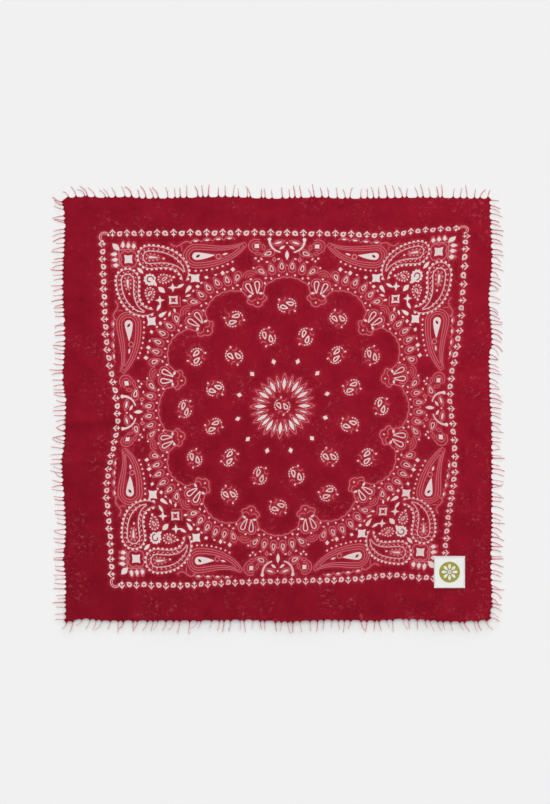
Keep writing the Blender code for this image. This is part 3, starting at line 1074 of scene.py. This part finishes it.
def loose_fibre(rng, side, place, reach):
    """A single fibre that stands out of the edge between the lashes."""
    out, run = directions(side)
    point = Vector((*edge_of_square(side, [place], reach - FIBRE_TUCK)[0], 0.0))
    point.z = FIBRE_RISE + float(lift(point.x, point.y))
    angle, turn = math.radians(rng.gauss(0.0, 48.0)), math.radians(rng.gauss(0.0, 30.0))
    length = rng.uniform(0.0012, 0.0038)
    path = []
    for _ in LOOSE_RADII:
        path.append(point)
        ahead = out * math.cos(angle) + run * math.sin(angle)
        point = point + ahead * length / 3
        point.z = max(OFF_TABLE, point.z + rng.uniform(-0.0003, 0.0002))
        angle += turn
    return path


def build_fringe(side):
    """All the lashes and loose fibres of one edge, as one mesh."""
    rng = random.Random("fringe " + side)
    verts, faces, pale = [], [], []

    def grow(path, radii, sides, paleness):
        tube(verts, faces, path, radii, sides)
        pale.extend([paleness] * (len(path) * sides))

    reaches = edge_reach(side, np.array([lash[0] for lash in LASHES[side]]))
    for lash, reach in zip(LASHES[side], reaches):
        bow, rise = rng.gauss(0.0, 14.0), rng.uniform(0.0, 0.0004)
        paleness = rng.choice(PALENESS) * rng.uniform(0.6, 1.0)
        middle, heading = lash_line(side, lash, reach, bow, rise)
        turns = rng.uniform(1.6, 2.6)
        for start in (0.0, 0.5):
            path, radii = twisted_ply(middle, heading, PLY_RADIUS * lash[3], turns, start)
            grow(path, radii, 5, paleness)
        for _ in range(rng.choice([0, 0, 1, 1, 2])):
            start = rng.randint(1, 6)
            path = stray_fibre(rng, middle[start], heading[start])
            grow(path, STRAY_RADII, 3, paleness * 0.5 + 0.12)
    count = int((WIDTH if side in ("near", "far") else DEPTH) / FIBRE_PITCH)
    places = np.array([rng.uniform(0.003, 0.997) for _ in range(count)])
    for place, reach in zip(places, edge_reach(side, places)):
        path = loose_fibre(rng, side, place, reach)
        grow(path, LOOSE_RADII, 3, rng.uniform(0.2, 0.6))

    fringe = add_mesh("lashes_" + side, verts, faces)
    fringe.data.attributes.new("pale", "FLOAT", "POINT").data.foreach_set("value", pale)
    return fringe


def lash_wool():
    material, tree, place = new_material("twisted_wool", 0.9, sheen=0.10, shine=0.08)
    pale = attribute(tree, "pale")
    streak = noise(tree, place, 900.0, 2.0, 0.7)
    red = blend(tree, spread(tree, streak, 0.3, 0.7), DEEP_LASH, RED_LASH)
    return finish_surface(material, blend(tree, pale, red, PALE_LASH), streak, 0.0001, 0.5)


lash_finish = lash_wool()
for side in LASHES_ON:
    lash = build_fringe(side)
    lash.data.materials.append(lash_finish)
    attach(lash, "root")
    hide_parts("fringe_" + side)


# ---------------------------------------------------------------- the label
# A square of white damask ribbon, its edges turned and bound with close satin stitches, sewn to
# the cloth all round. A green round with a plain white rosette is worked in its middle.

LABEL_X, LABEL_Y = 0.2428, -0.2298
LABEL_WIDTH, LABEL_DEPTH = 0.0438, 0.0452
LABEL_THICKNESS = 0.0007
LABEL_LIFT = 0.0001
BINDING = 0.0019          # width of the bound edge
BINDING_PITCH = 0.00043   # from one of its stitches to the next
BINDING_THREAD = 0.00032
RIB_PITCH = 0.00032       # of the ribbon's weave
# the ribbon's white on its ribs, and painted shade in the hollows of its weave
SHADED_WHITE_HOLLOW, WHITE_RIB = (0.730, 0.730, 0.715, 1.0), (0.815, 0.815, 0.800, 1.0)
WHITE_GRAIN = (0.720, 0.715, 0.700, 1.0)
SLANT = 0.12              # how far they lean from straight across, in radians
# Columns: place along a stitch as a share of its length, rise and radius in thread thicknesses
HIGH_STITCH = [(-0.5, -0.3, 0.35), (-0.32, 0.5, 0.5), (0.0, 0.9, 0.55), (0.32, 0.5, 0.5),
               (0.5, -0.3, 0.35)]


def deselect_all():
    bpy.ops.object.select_all(action="DESELECT")


def rest_on_cloth(obj, above):
    """Bend a flat piece to lie on the cloth."""
    places = read_points(obj.data)
    places[:, 2] += cloth_top(places[:, 0], places[:, 1]) + above
    obj.data.vertices.foreach_set("co", places.ravel())


def model_label():
    deselect_all()
    bpy.ops.mesh.primitive_cube_add(size=1.0, location=(LABEL_X, LABEL_Y, LABEL_THICKNESS / 2))
    label = bpy.context.active_object
    label.name = label.data.name = "label_ribbon"
    label.scale = (LABEL_WIDTH - 0.0008, LABEL_DEPTH - 0.0008, LABEL_THICKNESS * 0.7)
    bpy.ops.object.transform_apply(location=True, rotation=True, scale=True)
    bpy.ops.object.mode_set(mode="EDIT")
    bpy.ops.mesh.select_all(action="SELECT")
    bpy.ops.mesh.bevel(offset=0.00022, segments=2)
    bpy.ops.mesh.select_all(action="SELECT")
    bpy.ops.mesh.subdivide(number_cuts=18)
    bpy.ops.object.mode_set(mode="OBJECT")
    rest_on_cloth(label, LABEL_LIFT - LABEL_THICKNESS * 0.15)
    bpy.ops.object.shade_smooth_by_angle(angle=math.radians(40))
    return label


def label_weave():
    material, tree, place = new_material("white_ribbon", 0.62, sheen=0.05)
    ribs = weave(tree, place, RIB_PITCH)
    grain = noise(tree, place, 900.0, 2.0)
    # painted shade: the weave's hollows are coloured darker than its ribs
    white = blend(tree, spread(tree, ribs, -1.0, 1.0), SHADED_WHITE_HOLLOW, WHITE_RIB)
    white = blend(tree, spread(tree, grain, 0.3, 0.7, 0.0, 0.25), white, WHITE_GRAIN)
    return finish_surface(material, white, ribs, 0.00008, 0.5)


def thread_material(name, dark, light):
    material, tree, place = new_material(name, 0.5, sheen=0.1)
    grain = noise(tree, place, 1500.0, 2.0)
    colour = blend(tree, spread(tree, grain, 0.3, 0.7), dark, light)
    return finish_surface(material, colour, grain, 0.00005, 0.4)


def stitches(name, places, above, shape, thickness, sides):
    """Raised stitches in one mesh, one for each x and y from the label's middle, turn and length.

    The columns of a stitch's shape are place along it, rise and radius.
    """
    verts, faces = [], []
    shares, rises, radii = np.transpose(shape)
    for x, y, turn, length in places:
        px = LABEL_X + x + math.cos(turn) * length * shares
        py = LABEL_Y + y + math.sin(turn) * length * shares
        path = np.column_stack([px, py, cloth_top(px, py) + above + rises * thickness])
        tube(verts, faces, path, radii * thickness, sides)
    return add_mesh(name, verts, faces)


def binding_places():
    """Satin stitches side by side round the label's edge, each lying across it."""
    rng = random.Random("label binding")
    places = []
    for horizontal in (True, False):
        span = LABEL_WIDTH if horizontal else LABEL_DEPTH
        inset = (LABEL_DEPTH if horizontal else LABEL_WIDTH) / 2 - BINDING / 2
        count = int(span / BINDING_PITCH)
        for edge in (-1, 1):
            for number in range(count + 1):
                run = -span / 2 + BINDING * 0.2 + (span - BINDING * 0.4) * number / count
                wander = rng.gauss(0.0, 0.00004)
                if horizontal:
                    places.append((run, edge * (inset + wander), math.pi / 2 + SLANT, BINDING))
                else:
                    places.append((edge * (inset + wander), run, SLANT, BINDING))
    return places


label_ribbon = model_label()
label_ribbon.data.materials.append(label_weave())
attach(label_ribbon, "root")
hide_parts("label")

white_thread = thread_material("white_thread", (0.760, 0.760, 0.750, 1.0), (0.870, 0.870, 0.860, 1.0))
label_binding = stitches("label_binding", binding_places(), LABEL_LIFT + LABEL_THICKNESS * 0.72,
                         HIGH_STITCH, BINDING_THREAD, 6)
label_binding.data.materials.append(white_thread)
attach(label_binding, "root")


# The badge: a round of green satin stitch, and on it a plain rosette of eight white leaves, each
# filled with stitches from its midrib.
BADGE_RADIUS = 0.0147
ROSETTE_LEAVES = 8
LEAF_FROM, LEAF_TO, LEAF_WIDTH = 0.0038, 0.0112, 0.0046
EYE_STITCHES, EYE_RADIUS, EYE_LENGTH = 32, 0.0020, 0.0014
# Columns: place along a stitch as a share of its length, rise and radius in metres
SATIN_STITCH = [(-0.5, 0.0, 0.00018), (0.0, 0.00015, 0.00026), (0.5, 0.0, 0.00018)]
ROSETTE_RISE = 0.00028    # how far the rosette lies above the round


def badge_places():
    """Rows of stitches laid brick fashion that fill the round: x, y, turn and length of each."""
    rng = random.Random("label badge")
    pitch, longest = 0.00042, 0.0036
    places = []
    for row in range(int(2 * BADGE_RADIUS / pitch)):
        across = -BADGE_RADIUS + (row + 0.5) * pitch
        half = math.sqrt(BADGE_RADIUS ** 2 - across ** 2)
        start = -half
        stop = -half + longest * (0.5 + 0.5 * (row % 2))
        while start < half - 0.0002:
            stop = min(stop, half)
            length = stop - start
            wander = rng.gauss(0.0, 0.00002)
            places.append(((start + stop) / 2, across + wander, 0.0, length))
            start, stop = stop, stop + longest
    return places


def rosette_places():
    """Stitches of the eight leaves and of the eye in their middle."""
    places = []
    for number in range(ROSETTE_LEAVES):
        angle = 2 * math.pi * number / ROSETTE_LEAVES
        rows = 17
        for row in range(rows + 1):
            share = row / rows
            radius = LEAF_FROM + (LEAF_TO - LEAF_FROM) * share
            half = LEAF_WIDTH / 2 * math.sin(math.pi * min(share * 0.92 + 0.06, 1.0)) ** 0.8
            for side in (-1, 1):
                turn = angle + side * math.radians(62)
                x = radius * math.cos(angle) + half / 2 * math.cos(turn)
                y = radius * math.sin(angle) + half / 2 * math.sin(turn)
                places.append((x, y, turn, half * 1.05))
    for number in range(EYE_STITCHES):
        angle = 2 * math.pi * number / EYE_STITCHES
        places.append((EYE_RADIUS * math.cos(angle), EYE_RADIUS * math.sin(angle), angle, EYE_LENGTH))
    return places


green_thread = thread_material("green_thread", (0.370, 0.335, 0.018, 1.0), (0.450, 0.405, 0.030, 1.0))
badge_height = LABEL_LIFT + LABEL_THICKNESS * 0.66
label_badge = stitches("label_badge", badge_places(), badge_height, SATIN_STITCH, 1.0, 5)
label_badge.data.materials.append(green_thread)
label_rosette = stitches("label_rosette", rosette_places(), badge_height + ROSETTE_RISE,
                         SATIN_STITCH, 1.0, 5)
label_rosette.data.materials.append(white_thread)
for stitched in (label_badge, label_rosette):
    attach(stitched, "root")


# ---------------------------------------------------------------- table, light and camera
# A pale seamless table under the cloth, a broad low key from the far side and an even fill.

deselect_all()
bpy.ops.mesh.primitive_grid_add(x_subdivisions=20, y_subdivisions=20, size=40.0, location=(0.0, 0.0, 0.0))
table_top = bpy.context.active_object
table_top.name = table_top.data.name = "table_top"
table_finish, table_tree, table_place = new_material("pale_paper", 0.85)
grain = noise(table_tree, table_place, 60.0, 2.0)
paper = blend(table_tree, grain, (0.800, 0.800, 0.800, 1.0), (0.806, 0.806, 0.806, 1.0))
table_top.data.materials.append(finish_surface(table_finish, paper))

# A low sun lays the near edge's shadow down, and a broad one over it softens the folds.
# Columns: name, height over the table and breadth in degrees, strength
SUN_TURN = -6.0
SUNS = (("low_key", 12.0, 12.0, 1.05), ("broad_key", 45.0, 60.0, 1.46))
for name, height, spread_angle, strength in SUNS:
    sun = add_object(name, bpy.data.lights.new(name, "SUN"))
    sun.data.energy = strength
    sun.data.angle = math.radians(spread_angle)
    sun.rotation_euler = (math.radians(-(90.0 - height)), 0.0, math.radians(SUN_TURN))

world = bpy.data.worlds.new("studio")
bpy.context.scene.world = world
world.use_nodes = True
world.node_tree.nodes["Background"].inputs["Color"].default_value = (1.0, 1.0, 1.0, 1.0)
world.node_tree.nodes["Background"].inputs["Strength"].default_value = 0.695
bpy.context.scene.view_settings.view_transform = "Standard"

FRAME_WIDTH = 0.7755      # what the camera takes in, side to side, at the table
FRAME_MIDDLE = (-0.0032, 0.0099)
CAMERA_HEIGHT = 3.0
camera = add_object("camera", bpy.data.cameras.new("camera"))
camera.location = (*FRAME_MIDDLE, CAMERA_HEIGHT)
camera.data.sensor_fit = "HORIZONTAL"
camera.data.sensor_width = 36.0
camera.data.lens = 36.0 * CAMERA_HEIGHT / FRAME_WIDTH
camera.data.clip_end = 20.0
bpy.context.scene.camera = camera
